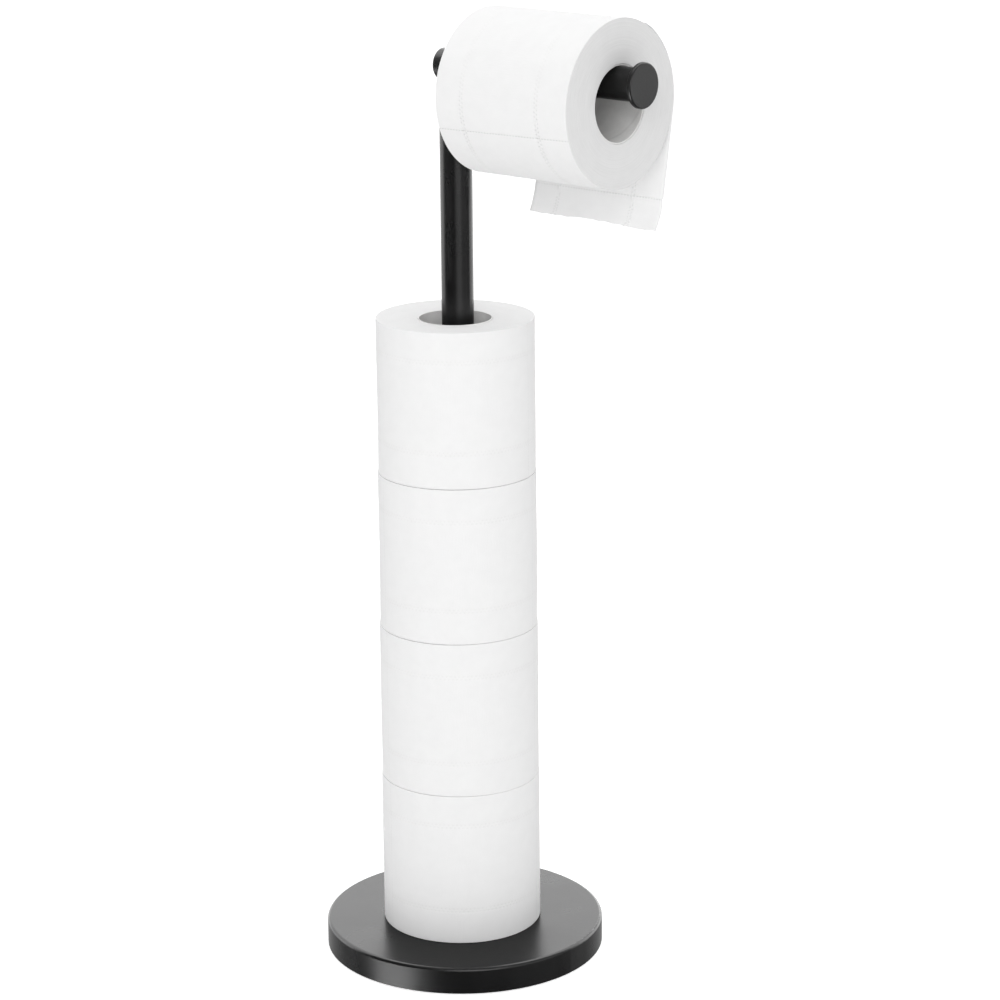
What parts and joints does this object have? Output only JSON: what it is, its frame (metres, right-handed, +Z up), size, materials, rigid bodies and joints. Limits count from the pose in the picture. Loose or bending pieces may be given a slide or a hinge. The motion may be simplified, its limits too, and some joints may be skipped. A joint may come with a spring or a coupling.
{
  "type": "toilet paper holder",
  "caption": "Free-standing toilet paper holder: round weighted base, post that stores spare rolls, and a lift-off arm with an end disc that carries the roll in use.",
  "frame": {"origin": "centre of the underside of the base's anti-slip pad, on the floor, on the post's axis", "axes": "+Z up along the post, +X along the arm from the post to the end disc, +Y to the side where the free end of the paper hangs"},
  "size_m": [0.2355, 0.179, 0.609],
  "materials": {
    "black_coat": "matte",
    "zinc_steel": "satin",
    "cast_weight": "matte",
    "pad_rubber": "matte",
    "nylon": "satin",
    "tissue": "matte",
    "core_card": "matte"
  },
  "bodies": {
    "stand": {"foot_pad": "pad_rubber", "base_plate": "zinc_steel", "plate_screws": "zinc_steel", "base_weight": "cast_weight", "base_shell": "black_coat", "base_bolt": "zinc_steel", "lock_washer": "zinc_steel", "base_washer": "zinc_steel", "post_gasket": "pad_rubber", "post_foot_insert": "zinc_steel", "post_lower": "black_coat", "lower_joint_insert": "zinc_steel", "joint_stud": "zinc_steel", "upper_joint_insert": "zinc_steel", "post_upper": "black_coat", "post_top_bush": "nylon"},
    "arm": {"arm_spigot": "zinc_steel", "arm_neck": "black_coat", "arm_tube": "black_coat", "arm_back_cap": "black_coat", "arm_end_insert": "zinc_steel", "end_disc_stud": "zinc_steel", "arm_end_disc": "black_coat"},
    "tail": {"paper_tail": "tissue"},
    "roll": {"roll_core": "core_card", "roll_paper": "tissue"},
    "spare_1": {"spare_core_1": "core_card", "spare_paper_1": "tissue"},
    "spare_2": {"spare_core_2": "core_card", "spare_paper_2": "tissue"},
    "spare_3": {"spare_core_3": "core_card", "spare_paper_3": "tissue"},
    "spare_4": {"spare_core_4": "core_card", "spare_paper_4": "tissue"}
  },
  "joints": [
    {"name": "arm_lift", "type": "slide", "parent": "stand", "child": "arm", "axis": [0, 0, 1], "range_m": [0, 0.034]},
    {"name": "roll_slide", "type": "slide", "parent": "arm", "child": "tail", "axis": [1, 0, 0], "range_m": [-0.018, 0.014]},
    {"name": "roll_spin", "type": "hinge", "parent": "tail", "child": "roll", "pos_m": [0.0785, 0, 0.5588], "axis": [1, 0, 0], "continuous": true},
    {"name": "spare_1_lift", "type": "slide", "parent": "stand", "child": "spare_1", "axis": [0, 0, 1], "range_m": [0, 0.014]},
    {"name": "spare_2_lift", "type": "slide", "parent": "spare_1", "child": "spare_2", "axis": [0, 0, 1], "range_m": [0, 0.014]},
    {"name": "spare_3_lift", "type": "slide", "parent": "spare_2", "child": "spare_3", "axis": [0, 0, 1], "range_m": [0, 0.014]},
    {"name": "spare_4_lift", "type": "slide", "parent": "spare_3", "child": "spare_4", "axis": [0, 0, 1], "range_m": [0, 0.014]}
  ]
}
